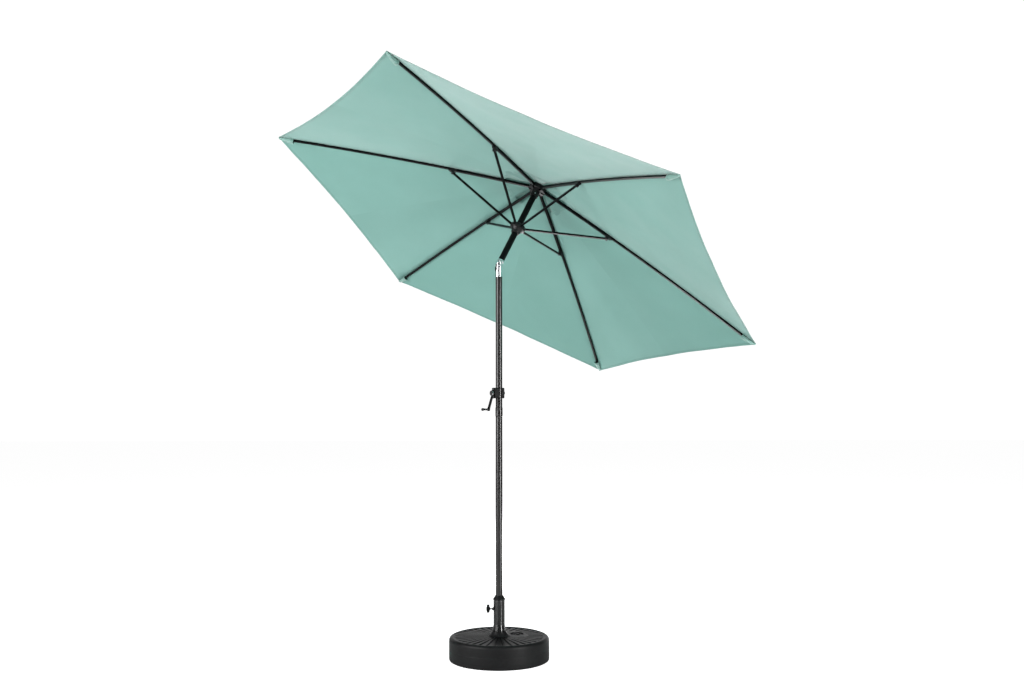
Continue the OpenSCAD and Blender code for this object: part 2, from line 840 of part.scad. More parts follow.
module rib_fittings(i) {
    ear_half = 9;
    plug_half_w = rib_w / 2 - rib_t - 0.2;
    cap_low = rib_outer_low + 1.5;
    plug_in = rib_t + 0.2;
    tab_half_w = stretcher_w / 2 + 0.4;
    color([0.04, 0.04, 0.04]) on_rib(i, brace_at) difference() {
        union() {
            block([-17, -ear_half, -10.5], [17, ear_half, 3.5]);
            block([-7, -ear_half, -brace_drop], [7, ear_half, -9]);
            translate([0, 0, -brace_drop]) rod_y(7, 2 * ear_half);
        }
        block([-20, -rib_w / 2 - 0.1, -rib_half_d - 0.2], [20, rib_w / 2 + 0.1, 10]);
        block([-20, -tab_half_w, -40], [20, tab_half_w, -brace_drop + brace_eye_r + 0.6]);
        translate([0, 0, -brace_drop]) rod_y(pin_r + 0.02, 30);
    }
    color([0.75, 0.75, 0.76]) on_rib(i, brace_at) translate([0, 0, -brace_drop]) {
        rod_y(pin_r, 2 * ear_half + 1);
        for (s = [-1, 1]) {
            translate([0, s * (ear_half + 0.75), 0]) rod_y(2.8, 1.2);
        }
    }
    color([0.04, 0.04, 0.04]) on_rib(i, rib_len) {
        block([-15, -plug_half_w, plug_in - rib_outer_low], [cut, plug_half_w, rib_half_d - plug_in]);
        block([0.2, -6.5, -cap_low], [12, 6.5, rib_half_d]);
        translate([8.5, 0, -cap_low]) rod_y(3.5, 13);
    }
}

module stretcher(i) {
    d = stretcher_half_d;
    wall = 0.9;
    inner_half = stretcher_w / 2 - wall;
    color([0.03, 0.03, 0.03]) rib_frame(i)
        translate([runner_pin[0], 0, runner_pin[1]]) rotate([0, -stretcher_tilt, 0]) difference() {
            union() {
                block([0, -stretcher_w / 2, -d], [stretcher_len, stretcher_w / 2, d]);
                rod_y(runner_eye_r, stretcher_w);
                translate([stretcher_len, 0, 0]) rod_y(brace_eye_r, stretcher_w);
            }
            block([14, -inner_half, wall - d], [stretcher_len - 10, inner_half, d + cut]);
            rod_y(runner_eye_bore_r, 30);
            translate([stretcher_len, 0, 0]) rod_y(pin_r + fit_gap, 30);
        }
}

// ---------- canopy ----------

// a sheet that spans half a panel on each side of one rib: each row is a station on the rib,
// [outward, up] there, and the cloth runs from it to the middle of the panel, with its sag there
module cloth(stations, t, sag) {
    n = len(stations);
    cols = len(stations[0]);
    mid = (cols - 1) / 2;
    side = [for (j = [0:cols - 1]) (j - mid) / mid];
    low = [for (i = [0:n - 1]) for (j = [0:cols - 1])
        let (v = side[j], p = stations[i][j], half = p[0] / 2 - seam_gap, low = sag_share(abs(v)) * sag)
        [p[0] - abs(v) * half * sin(30), v * half * cos(30), p[1] - low * p[0] / canopy_len]];
    top = [for (p = low) p + [0, 0, t]];
    total = n * cols;
    skin = [for (i = [0:n - 2]) for (j = [0:cols - 2])
        let (a = i * cols + j) [a, a + 1, a + cols + 1, a + cols]];
    faces_low = [for (f = skin) for (q = [[f[0], f[1], f[2]], [f[0], f[2], f[3]]]) q];
    faces_top = [for (q = faces_low) [q[2] + total, q[1] + total, q[0] + total]];
    rim = concat(
        [for (j = [0:cols - 1]) j],
        [for (i = [1:n - 1]) i * cols + cols - 1],
        [for (j = [cols - 2:-1:0]) (n - 1) * cols + j],
        [for (i = [n - 2:-1:1]) i * cols]
    );
    edge = [for (k = [0:len(rim) - 1])
        let (a = rim[k], b = rim[(k + 1) % len(rim)]) [b, a, a + total, b + total]];
    edge_tris = [for (f = edge) for (q = [[f[0], f[1], f[2]], [f[0], f[2], f[3]]]) q];
    polyhedron(concat(low, top), concat(faces_low, faces_top, edge_tris), convexity = 6);
}

sides = [1, 0.5, 0, 0.5, 1];
function sag_share(v) = 2 * v - v * v;
function hem_s(v) = canopy_len - hem_curve * sag_share(v);
function main_station(s0, k, v) = rib_point(s0 + (hem_s(v) - s0) * k / rows, cloth_lift);

module canopy_gore(i) {
    s0 = (vent_hole_r - rib_pin_r) / cos(rib_droop + 0.3);
    cap_edge = rib_point((vent_cap_r - rib_pin_r) / cos(rib_droop + 0.4), cloth_lift + 10);
    cap_z = crown_top + 0.5;
    cap_middle = ([crown_r, cap_z] + cap_edge) / 2 + [0, 4];
    cap_line = [[7, cap_z], [crown_r, cap_z], cap_middle, cap_edge];
    color([0.55, 0.75, 0.70]) rib_frame(i) {
        cloth([for (k = [0:rows]) [for (v = sides) main_station(s0, k, v)]], cloth_t, cloth_sag);
        cloth([for (p = cap_line) [p, p, p]], cap_t, 0);
    }
}

// ---------- what is drawn ----------

base_shell();
sand_fill();
fill_cap();
base_sleeve();
sleeve_bush();
sleeve_collar();
clamp_screw();
clamp_knob();
lower_pole();
middle_pole();
crank_housing();
crank_cover();
cover_screws();
crank_shaft();
crank_arm();
crank_cap();
crank_grip();
lower_knuckle();
upper_knuckle();
tilt_pins();
tilt_button();
button_spring();
upper_pole();
crown();
crown_pins();
crown_screw();
finial();
cord_pulley();
pulley_pin();
runner();
runner_pins();
lift_cord_lower();
lift_cord_upper();
rib(1);  // rib_1
rib(2);  // rib_2
rib(3);  // rib_3
rib(4);  // rib_4
rib(5);  // rib_5
rib(6);  // rib_6
rib_fittings(1);  // rib_fittings_1
rib_fittings(2);  // rib_fittings_2
rib_fittings(3);  // rib_fittings_3
rib_fittings(4);  // rib_fittings_4
rib_fittings(5);  // rib_fittings_5
rib_fittings(6);  // rib_fittings_6
stretcher(1);  // stretcher_1
stretcher(2);  // stretcher_2
stretcher(3);  // stretcher_3
stretcher(4);  // stretcher_4
stretcher(5);  // stretcher_5
stretcher(6);  // stretcher_6
canopy_gore(1);  // canopy_gore_1
canopy_gore(2);  // canopy_gore_2
canopy_gore(3);  // canopy_gore_3
canopy_gore(4);  // canopy_gore_4
canopy_gore(5);  // canopy_gore_5
canopy_gore(6);  // canopy_gore_6
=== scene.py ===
import json
import math

import bpy
import numpy as np
from mathutils import Matrix, Vector, noise


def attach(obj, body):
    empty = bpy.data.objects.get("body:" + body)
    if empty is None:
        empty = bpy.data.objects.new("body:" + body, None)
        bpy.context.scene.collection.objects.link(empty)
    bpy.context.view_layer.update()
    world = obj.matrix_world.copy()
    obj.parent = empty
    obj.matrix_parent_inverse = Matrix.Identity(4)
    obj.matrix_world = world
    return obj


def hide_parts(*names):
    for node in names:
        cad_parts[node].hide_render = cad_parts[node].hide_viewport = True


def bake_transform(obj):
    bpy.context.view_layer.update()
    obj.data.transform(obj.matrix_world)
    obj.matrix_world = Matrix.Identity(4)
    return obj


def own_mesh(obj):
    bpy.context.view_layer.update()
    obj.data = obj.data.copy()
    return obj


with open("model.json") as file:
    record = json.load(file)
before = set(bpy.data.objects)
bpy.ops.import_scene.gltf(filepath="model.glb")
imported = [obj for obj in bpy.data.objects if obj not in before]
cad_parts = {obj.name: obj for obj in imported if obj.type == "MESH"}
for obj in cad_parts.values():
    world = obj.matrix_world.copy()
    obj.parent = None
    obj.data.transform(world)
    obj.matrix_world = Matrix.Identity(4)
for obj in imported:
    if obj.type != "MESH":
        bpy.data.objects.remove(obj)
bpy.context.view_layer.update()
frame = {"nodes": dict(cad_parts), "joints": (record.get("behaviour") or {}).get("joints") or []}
nodes = frame["nodes"]
joints = {j["name"]: j for j in frame["joints"]}

RIBS = range(1, 7)

# the ribs' line, the same driving sizes as the CAD model: it starts at the pins and bends as it goes
RIB_PIN_R = 0.034
RIB_DROOP = math.radians(11.9)
RIB_BEND = math.radians(3.4)

# the canopy's cut, measured along a rib from its pin, or out from the pole for the vent's two edges
CANOPY_LEN = 1.351
POCKET_LEN = 0.078
HEM_CURVE = 0.044
VENT_HOLE_R = 0.180
VENT_CAP_R = 0.300
CLOTH_SAG = 0.016
CLOTH_LIFT = 0.0088
CLOTH_T = 0.0012

# above the crown's middle: the flat that the vent cap is clamped on, and how far out it goes
CROWN_TOP = 0.014
CROWN_FLAT_R = 0.046

# ---------- places, from the frame ----------

POLE_UP = Vector(joints["runner_slide"]["axis"]).normalized()
TILT_PIVOT = Vector(joints["tilt"]["pos_m"])


def fold_joint(i):
    return joints["canopy_fold" if i == 1 else f"rib_fold_{i}"]


CROWN = sum((Vector(fold_joint(i)["pos_m"]) for i in RIBS), Vector()) / 6


def rib_matrix(i):
    """X outward along the rib, Y across it, Z along the tilting pole, origin in the middle of the crown."""
    across = Vector(fold_joint(i)["axis"]).normalized()
    outward = across.cross(POLE_UP)
    m = Matrix((outward, across, POLE_UP)).transposed().to_4x4()
    m.translation = CROWN
    return m


def rib_angle(s):
    return RIB_DROOP + max(s, 0) * RIB_BEND


def rib_point(s, off=0.0):
    """A point on a rib's line, s along it and off above it: (outward, up) from the crown's middle."""
    a = rib_angle(s)
    r = RIB_PIN_R + (math.sin(a) - math.sin(RIB_DROOP)) / RIB_BEND
    z = (math.cos(a) - math.cos(RIB_DROOP)) / RIB_BEND
    return r + off * math.sin(a), z + off * math.cos(a)


# ---------- materials ----------

class Nodes:
    """A short way to build a node tree."""

    def __init__(self, name):
        self.mat = bpy.data.materials.new(name)
        self.mat.use_nodes = True
        self.tree = self.mat.node_tree
        self.tree.nodes.clear()
        self.out = self.add("ShaderNodeOutputMaterial")

    def add(self, kind, **props):
        n = self.tree.nodes.new(kind)
        for k, v in props.items():
            setattr(n, k, v)
        return n

    def link(self, a, b):
        self.tree.links.new(a, b)

    def put(self, node, name, value):
        """A number, a colour or another node's output, into an input."""
        socket = node.inputs[name]
        if isinstance(value, bpy.types.NodeSocket):
            self.link(value, socket)
        elif isinstance(value, tuple) and len(value) == 3 and socket.type == "RGBA":
            socket.default_value = (*value, 1)
        else:
            socket.default_value = value

    def shader(self, **values):
        s = self.add("ShaderNodeBsdfPrincipled")
        for k, v in values.items():
            self.put(s, k.replace("_", " "), v)
        return s

    def coords(self, scale=(1, 1, 1), attribute=None):
        if attribute:
            source = self.add("ShaderNodeAttribute", attribute_name=attribute).outputs["Vector"]
        else:
            source = self.add("ShaderNodeTexCoord").outputs["Object"]
        m = self.add("ShaderNodeMapping")
        m.inputs["Scale"].default_value = scale
        self.link(source, m.inputs["Vector"])
        return m.outputs["Vector"]

    def noise(self, scale, detail=3, rough=0.5, vector=None):
        n = self.add("ShaderNodeTexNoise")
        n.inputs["Scale"].default_value = scale
        n.inputs["Detail"].default_value = detail
        n.inputs["Roughness"].default_value = rough
        self.link(vector or self.coords(), n.inputs["Vector"])
        return n.outputs["Fac"]

    def math(self, op, a, b=0.0):
        n = self.add("ShaderNodeMath", operation=op)
        for i, v in enumerate((a, b)):
            if isinstance(v, bpy.types.NodeSocket):
                self.link(v, n.inputs[i])
            else:
                n.inputs[i].default_value = v
        return n.outputs[0]

    def ramp(self, value, low, high, to_low=0.0, to_high=1.0):
        n = self.add("ShaderNodeMapRange")
        names = ("Value", "From Min", "From Max", "To Min", "To Max")
        for k, v in zip(names, (value, low, high, to_low, to_high)):
            self.put(n, k, v)
        return n.outputs["Result"]

    def mix(self, fac, a, b):
        n = self.add("ShaderNodeMix", data_type="RGBA")
        self.put(n, "Factor", fac)
        for socket, v in ((n.inputs[6], a), (n.inputs[7], b)):
            if isinstance(v, bpy.types.NodeSocket):
                self.link(v, socket)
            else:
                socket.default_value = (*v, 1)
        return n.outputs[2]

    def bump(self, height, strength, distance, under=None):
        n = self.add("ShaderNodeBump")
        n.inputs["Strength"].default_value = strength
        n.inputs["Distance"].default_value = distance
        self.link(height, n.inputs["Height"])
        if under:
            self.link(under, n.inputs["Normal"])
        return n.outputs["Normal"]

    def along_tube(self, shader, amount):
        """Stretches the highlights along an upright tube, as on drawn tubing; 0 leaves them round."""
        if amount:
            round_z = self.add("ShaderNodeTangent", direction_type="RADIAL", axis="Z")
            self.link(round_z.outputs[0], shader.inputs["Tangent"])
            shader.inputs["Anisotropic"].default_value = amount
            shader.inputs["Anisotropic Rotation"].default_value = 0.25

    def finish(self, shader):
        self.link(shader.outputs[0], self.out.inputs["Surface"])
        return self.mat


def painted(name, colour, rough, drawn=0.0, gloss=0.5, dust=0.25):
    """Powder coat: a fine orange-peel surface, with dust dulling it in broad soft patches."""
    n = Nodes(name)
    patches = n.noise(5, 4, 0.6)
    tone = n.mix(n.ramp(patches, 0.35, 0.8, 0, dust), colour, tuple(c * 1.8 + 0.004 for c in colour))
    shine = n.ramp(patches, 0.3, 0.8, rough - 0.03, rough + 0.06)
    peel = n.bump(n.noise(260, 2), 0.03, 0.0002)
    s = n.shader(Base_Color=tone, Roughness=shine, Normal=peel)
    s.inputs["Specular IOR Level"].default_value = gloss
    n.along_tube(s, drawn)
    return n.finish(s)


def moulded(name, colour, rough, texture=700, depth=0.00025, scuff=0.02, gloss=0.3):
    """Moulded plastic: a fine spark texture with paler scuffs and dust."""
    n = Nodes(name)
    broad = n.noise(9, 5, 0.65)
    fine = n.noise(60, 3, 0.7)
    worn = n.math("MULTIPLY", n.ramp(broad, 0.45, 0.7), n.ramp(fine, 0.4, 0.7))
    tone = n.mix(n.math("MULTIPLY", worn, 0.8), colour, tuple(c + scuff for c in colour))
    shine = n.ramp(worn, 0, 1, rough, min(rough + 0.18, 1))
    spark = n.bump(n.noise(texture, 3, 0.6), 0.25, depth)
    s = n.shader(Base_Color=tone, Roughness=shine, Normal=spark)
    s.inputs["Specular IOR Level"].default_value = gloss
    return n.finish(s)


def metal(name, colour, rough, streak=(40, 40, 1400), drawn=0.0):
    """Bare or plated metal with faint streaks and finger marks in its shine."""
    n = Nodes(name)
    lines = n.noise(1.0, 2, 0.5, n.coords(streak))
    marks = n.noise(35, 4, 0.6)
    shine = n.math("ADD", n.ramp(marks, 0.4, 0.8, rough, rough + 0.06), n.ramp(lines, 0.3, 0.7, 0, 0.04))
    s = n.shader(Base_Color=colour, Roughness=shine, Normal=n.bump(lines, 0.02, 0.0001))
    s.inputs["Metallic"].default_value = 1.0
    n.along_tube(s, drawn)
    return n.finish(s)


WEAVE_SHADE = (0.15, 0.30, 0.26)
DOUBLED_SHADE = (0.14, 0.30, 0.26)
THREAD_COLOUR = (0.30, 0.56, 0.50)
SEAM_STITCHES = (0.0075, 0.0125)
HEM_STITCHES = (0.003, 0.0145)


def canopy_cloth(name, shade, light):
    """Plain-weave polyester with light coming through it, and rows of stitches along its seams and hems.
    The attribute "cloth" holds where a point lies on the flat cloth; "edge" holds its distances from
    the rib seam (x) and from the nearest hem (y), and how far along that line it is (z)."""
    n = Nodes(name)
    flat = n.coords(attribute="cloth")
    edge = n.add("ShaderNodeSeparateXYZ")
    n.link(n.add("ShaderNodeAttribute", attribute_name="edge").outputs["Vector"], edge.inputs[0])
    seam, hem, along = edge.outputs

    def threads(direction):
        w = n.add("ShaderNodeTexWave", wave_type="BANDS", bands_direction=direction, wave_profile="SIN")
        w.inputs["Scale"].default_value = 110
        w.inputs["Distortion"].default_value = 0.6
        w.inputs["Detail"].default_value = 1
        n.link(flat, w.inputs["Vector"])
        return w.outputs["Fac"]

    weave = n.math("MAXIMUM", threads("X"), threads("Y"))
    slub = n.noise(1.0, 3, 0.6, n.coords((900, 24, 1), "cloth"))
    cloud = n.noise(2.2, 4, 0.55, flat)

    def stitch_row(distance, at):
        near = n.math("ABSOLUTE", n.math("SUBTRACT", distance, at))
        on_line = n.ramp(near, 0.0004, 0.0009, 1, 0)
        dash = n.ramp(n.math("PINGPONG", along, 0.0022), 0.0003, 0.0007)
        return n.math("MULTIPLY", on_line, dash)

    rows = [stitch_row(seam, at) for at in SEAM_STITCHES] + [stitch_row(hem, at) for at in HEM_STITCHES]
    stitches = rows[0]
    for row in rows[1:]:
        stitches = n.math("MAXIMUM", stitches, row)
    seam_fold = n.ramp(seam, 0.014, 0.016, 1, 0)
    hem_fold = n.ramp(hem, 0.0165, 0.0185, 1, 0)
    layers = n.math("MAXIMUM", seam_fold, hem_fold)

    base = n.mix(n.ramp(cloud, 0.3, 0.7), shade, light)
    base = n.mix(n.ramp(weave, 0.2, 1.0, 0.10, 0), base, WEAVE_SHADE)
    base = n.mix(n.math("MULTIPLY", layers, 0.32), base, DOUBLED_SHADE)
    base = n.mix(n.math("MULTIPLY", stitches, 0.7), base, THREAD_COLOUR)

    height = n.math("ADD", weave, n.math("MULTIPLY", slub, 0.8))
    fine = n.bump(height, 0.35, 0.0003)
    folds = n.math("ADD", n.math("MULTIPLY", layers, 0.9), n.math("MULTIPLY", stitches, 0.8))
    normal = n.bump(folds, 0.6, 0.0008, fine)
    front = n.shader(Base_Color=base, Normal=normal)
    front.inputs["Roughness"].default_value = 0.82
    front.inputs["Sheen Weight"].default_value = 1.0
    front.inputs["Sheen Roughness"].default_value = 0.3
    through = n.add("ShaderNodeBsdfTranslucent")
    n.link(base, through.inputs["Color"])
    n.link(normal, through.inputs["Normal"])
    both = n.add("ShaderNodeMixShader")
    both.inputs[0].default_value = 0.35
    n.link(front.outputs[0], both.inputs[1])
    n.link(through.outputs[0], both.inputs[2])
    return n.finish(both)


def braided(name, colour):
    """Cord: fine strands along it."""
    n = Nodes(name)
    strands = n.noise(1.0, 2, 0.5, n.coords((500, 500, 160)))
    tone = n.mix(strands, colour, tuple(c * 2.2 for c in colour))
    rough = n.ramp(strands, 0, 1, 0.7, 0.9)
    return n.finish(n.shader(Base_Color=tone, Roughness=rough, Normal=n.bump(strands, 0.5, 0.0006)))


CLOTH = canopy_cloth("canopy_cloth", (0.256, 0.500, 0.448), (0.285, 0.540, 0.489))
# the vent cap's cloth is the canopy cloth darkened to about 0.8: painted shade of the cap lying in the
# shadow between the two layers
SHADED_VENT_CLOTH = canopy_cloth("canopy_cloth_vent_painted_shade", (0.205, 0.410, 0.366), (0.232, 0.450, 0.404))
# the tip pockets' cloth is a paler copy of the canopy cloth: a painted highlight where the pockets catch
# the light
LIT_POCKET_CLOTH = canopy_cloth("pocket_cloth_painted_highlight", (0.33, 0.56, 0.50), (0.40, 0.62, 0.57))
POLE_PAINT = painted("pole_paint", (0.012, 0.011, 0.011), 0.20, drawn=0.75, gloss=0.5)
SLEEVE_PAINT = painted("sleeve_paint", (0.003, 0.003, 0.003), 0.20, drawn=0.9, gloss=0.7)
FRAME_PAINT = painted("frame_paint", (0.0012, 0.0012, 0.0014), 0.36, gloss=0.12)
BASE_PLASTIC = moulded("base_plastic", (0.0060, 0.0060, 0.0065), 0.46, texture=350, scuff=0.009, gloss=0.22)
BLACK_PLASTIC = moulded("black_plastic", (0.006, 0.006, 0.0065), 0.36, scuff=0.008)
CHROME = metal("chrome", (0.88, 0.89, 0.91), 0.14)
KNUCKLE = metal("knuckle_chrome", (0.88, 0.89, 0.91), 0.16, streak=(900, 900, 20), drawn=0.7)
ZINC = metal("zinc", (0.62, 0.63, 0.65), 0.28)
SAND = moulded("sand", (0.42, 0.34, 0.22), 0.9, texture=1200, depth=0.001, scuff=0.1)
CORD = braided("cord", (0.02, 0.02, 0.02))

FINISH = {
    "base_shell": BASE_PLASTIC,
    "sand_fill": SAND,
    "base_sleeve": SLEEVE_PAINT,
    "lower_pole": POLE_PAINT,
    "middle_pole": POLE_PAINT,
    "upper_pole": FRAME_PAINT,
    "lower_knuckle": KNUCKLE,
    "upper_knuckle": CHROME,
    "crank_cap": CHROME,
    "lift_cord_lower": CORD,
    "lift_cord_upper": CORD,
}
STEEL_NODES = (
    "clamp_screw", "cover_screws", "crank_shaft", "tilt_pins", "button_spring",
    "crown_pins", "crown_screw", "pulley_pin", "runner_pins",
)


def finish_of(name):
    """The material of a CAD node, black plastic if nothing else is named for it."""
    if name in FINISH:
        return FINISH[name]
    if name in STEEL_NODES:
        return ZINC
    if name.startswith("canopy_gore"):
        return CLOTH
    if name.startswith(("rib_", "stretcher_")) and not name.startswith("rib_fittings"):
        return FRAME_PAINT
    return BLACK_PLASTIC


for node_name, obj in nodes.items():
    for slot in obj.material_slots:
        slot.material = finish_of(node_name)


# ---------- mesh helpers ----------

def new_piece(name, verts, faces, material):
    mesh = bpy.data.meshes.new(name)
    mesh.from_pydata([tuple(v) for v in verts], [], faces)
    mesh.update()
    obj = bpy.data.objects.new(name, mesh)
    bpy.context.scene.collection.objects.link(obj)
    mesh.materials.append(material)
    mesh.shade_smooth()
    return obj


def thicken(obj, thickness, offset):
    """Gives a surface its thickness, on the side that offset says: 1 is the side its faces look to."""
    thick = obj.modifiers.new("thick", "SOLIDIFY")
    thick.thickness = thickness
    thick.offset = offset
    apply_modifiers(obj)


def apply_modifiers(obj):
    dg = bpy.context.evaluated_depsgraph_get()
    made = bpy.data.meshes.new_from_object(obj.evaluated_get(dg))
    obj.modifiers.clear()
    old, obj.data = obj.data, made
    bpy.data.meshes.remove(old)


def add_vectors(obj, **lists):
    for label, values in lists.items():
        att = obj.data.attributes.new(label, "FLOAT_VECTOR", "POINT")
        att.data.foreach_set("vector", [x for row in values for x in row])


# ---------- base ----------

BASE_R = 0.250
DECK_H = 0.116
SHELL_T = 0.0035
FOOT_ROUND = 0.008
RIM_ROUND = 0.016

# the line round the side where the mould's halves met
PARTING_H = 0.0585
PARTING_DEPTH = 0.0003

# the deck rises from its edge to the foot of the hub, and the hub to its socket
DECK_EDGE_R = 0.226
DECK_EDGE_H = DECK_H - 0.0025
DECK_MID_R = 0.082
DECK_MID_H = DECK_H + 0.002
HUB_FOOT_R = 0.064
HUB_R = 0.036
HUB_H = 0.140
WELL_R = 0.0286

FLUTES = 36
FLUTE_DEPTH = 0.0042
FLUTE_IN_R = 0.041
FLUTE_OUT_R = 0.222

CAP_R = 0.032
CAP_OUT = 0.101
CAP_TURN = math.radians(27.7)
CAP_AT = Vector((CAP_OUT * math.cos(CAP_TURN), CAP_OUT * math.sin(CAP_TURN)))
RECESS_DEPTH = 0.0115
RING_H = 0.0014


def soft_step(x, low, high):
    """0 at low, 1 at high, with a smooth change between them."""
    t = min(max((x - low) / (high - low), 0), 1)
    return t * t * (3 - 2 * t)


def deck_height(r, angle):
    """The base's top at a place: the raised hub, the flutes, the filler's recess and its ring."""
    z = DECK_EDGE_H + (DECK_MID_H - DECK_EDGE_H) * soft_step(r, DECK_EDGE_R, DECK_MID_R)
    if r < HUB_FOOT_R:
        z += (HUB_H - DECK_MID_H) * min((HUB_FOOT_R - r) / (HUB_FOOT_R - HUB_R), 1) ** 2.6
    from_cap = (Vector((r * math.cos(angle), r * math.sin(angle))) - CAP_AT).length

    # the flutes run out from the hub, but those in line with the filler start beyond it
    start = FLUTE_IN_R
    if from_cap <= 0.075 and r <= 0.15:
        start = CAP_AT.length + CAP_R + 0.010
    length = soft_step(r, start, start + 0.012) * soft_step(r, FLUTE_OUT_R, FLUTE_OUT_R - 0.008)
    if from_cap <= CAP_R + 0.014:
        length = 0
    phase = (angle * FLUTES / (2 * math.pi)) % 1 - 0.5
    groove = 1 - soft_step(abs(phase), 0.12, 0.22)
    z -= FLUTE_DEPTH * soft_step(r, 0.034, 0.060) * groove * length

    z += RING_H * soft_step(from_cap, CAP_R + 0.008, CAP_R + 0.004)
    z -= RECESS_DEPTH * soft_step(from_cap, CAP_R + 0.001, CAP_R - 0.0008)
    return z


def rounded(r, z, size, first, last, count):
    """Points round an edge of the profile, from one angle to another about its middle."""
    return [(r + size * math.cos(a), z + size * math.sin(a)) for a in np.linspace(first, last, count)]


def drum_side():
    """The drum's outer profile as (radius, height), from the middle of its underside to the deck's edge."""
    quarter = math.pi / 2
    side = [(0.0, 0.0), (0.12, 0.0), (BASE_R - FOOT_ROUND, 0.0)]
    side += rounded(BASE_R - FOOT_ROUND, FOOT_ROUND, FOOT_ROUND, 0.3 - quarter, 0, 4)
    side.append((BASE_R, 0.030))
    for off, depth in ((-0.0025, 0), (-0.0007, 0), (-0.0003, 1), (0.0003, 1), (0.0007, 0), (0.0025, 0)):
        side.append((BASE_R - PARTING_DEPTH * depth, PARTING_H + off))
    side.append((BASE_R, 0.085))
    side += rounded(BASE_R - RIM_ROUND, DECK_H - RIM_ROUND, RIM_ROUND, 0, quarter, 9)
    side += [(0.2315, DECK_H - 0.0001), (0.2295, DECK_H - 0.0009), (0.2280, DECK_H - 0.0020)]
    return side


def fluted_base():
    side = drum_side()
    deck = [*np.linspace(DECK_EDGE_R, 0.142, 26), *np.linspace(0.140, 0.066, 38)]
    deck += [*np.linspace(HUB_FOOT_R, HUB_R, 15), 0.043, 0.040, 0.033, WELL_R]
    deck.sort(reverse=True)

    # places across one flute, closer together at its walls
    half_flute = (0.06, 0.12, 0.15, 0.18, 0.21, 0.24, 0.3, 0.4)
    in_flute = (-0.5, *(-t for t in reversed(half_flute)), 0, *half_flute)
    angles = [(k + 0.5 + t) * 2 * math.pi / FLUTES for k in range(FLUTES) for t in in_flute]
    around = len(angles)
    verts = []
    for r, z in side:
        verts += [(r * math.cos(a), r * math.sin(a), z) for a in angles]
    for r in deck:
        verts += [(r * math.cos(a), r * math.sin(a), deck_height(r, a)) for a in angles]
    for r, z in ((WELL_R, SHELL_T), (0.0, SHELL_T)):
        verts += [(r * math.cos(a), r * math.sin(a), z) for a in angles]
    rings = len(verts) // around
    faces = []
    for low in range(0, (rings - 1) * around, around):
        high = low + around
        for b in range(around):
            c = (b + 1) % around
            faces.append((low + b, low + c, high + c, high + b))
    obj = new_piece("base_drum", verts, faces, BASE_PLASTIC)
    weld = obj.modifiers.new("weld", "WELD")
    weld.merge_threshold = 1e-6
    apply_modifiers(obj)
    obj.data.set_sharp_from_angle(angle=math.radians(42))
    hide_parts("base_shell")
    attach(obj, "base")
    return obj


fluted_base()


# ---------- canopy ----------

ACROSS = 28
DOWN = 60


def hem_s(v):
    """Where the hem crosses, along the rib, at v across half a panel: 0 on the rib, 1 at its middle."""
    return CANOPY_LEN - HEM_CURVE * (2 * v - v * v)


def cloth_sheet(name, i, surface, material):
    """A thin closed sheet round rib i. surface(u, v) gives a point (outward, across, up), its place on the
    flat cloth, and the distances that the cloth material's "edge" holds."""
    cols = 2 * ACROSS + 1
    place = rib_matrix(i)
    verts, flat, edge = [], [], []
    for a in range(DOWN + 1):
        for b in range(cols):
            side = (b - ACROSS) / ACROSS
            v = math.copysign(abs(side) ** 1.25, side)
            p, f, e = surface(a / DOWN, v)
            verts.append(place @ Vector(p))
            flat.append(f)
            edge.append(e)
    faces = [
        (a * cols + b, (a + 1) * cols + b, (a + 1) * cols + b + 1, a * cols + b + 1)
        for a in range(DOWN) for b in range(cols - 1)
    ]
    obj = new_piece(name, verts, faces, material)
    add_vectors(obj, cloth=flat, edge=edge)
    thicken(obj, CLOTH_T, 1)
    obj.data.set_sharp_from_angle(angle=math.radians(50))
    return obj


def sag_share(t):
    """How much of the full sag the cloth has at t across half a panel: none on the rib."""
    return t * (2 - t)


def across_panel(r, v):
    """A point on the straight line that crosses a panel where its rib is r out: (outward, across)."""
    half = r / 2
    t = abs(v)
    return r - t * half * 0.5, math.copysign(t * half * math.sqrt(3) / 2, v)


def ripple(p, calm):
    """Small waves in the cloth, the same for neighbours where they meet; calm is 1 where it is held."""
    q = Vector(p)
    wave = noise.noise(q * 5.0) * 0.0035 + noise.noise(q * 14.0) * 0.0010
    return wave * (1 - calm)


def turn_to_rib(i):
    """Turns a point near rib i to its real place, so that the noise agrees where panels meet."""
    return Matrix.Rotation(math.radians(60 * (i - 1)), 3, "Z")


def main_surface(i):
    start = (VENT_HOLE_R - RIB_PIN_R) / math.cos(RIB_DROOP + 0.005)
    turn = turn_to_rib(i)

    def surface(u, v):
        t = abs(v)
        end = hem_s(t)
        s = start + (end - start) * u
        r, z = rib_point(s, CLOTH_LIFT)
        x, y = across_panel(r, v)
        off_rib = t * r / 2
        tent = 0.0012 * math.exp(-((off_rib / 0.012) ** 2))
        held = math.exp(-((off_rib / 0.05) ** 2))
        z += tent - CLOTH_SAG * sag_share(t) * r / CANOPY_LEN
        z += ripple(turn @ Vector((x, y, z)), held)
        near_hem = min(end - s, s - start)
        along = s if off_rib < near_hem else math.copysign(off_rib, v)
        return (x, y, z), (s, math.copysign(off_rib, v), 0.1 * i), (off_rib, near_hem, along)

    return surface


VENT_IN_R = 0.008
VENT_FOLD = 0.016
VENT_PUCKER = 0.004


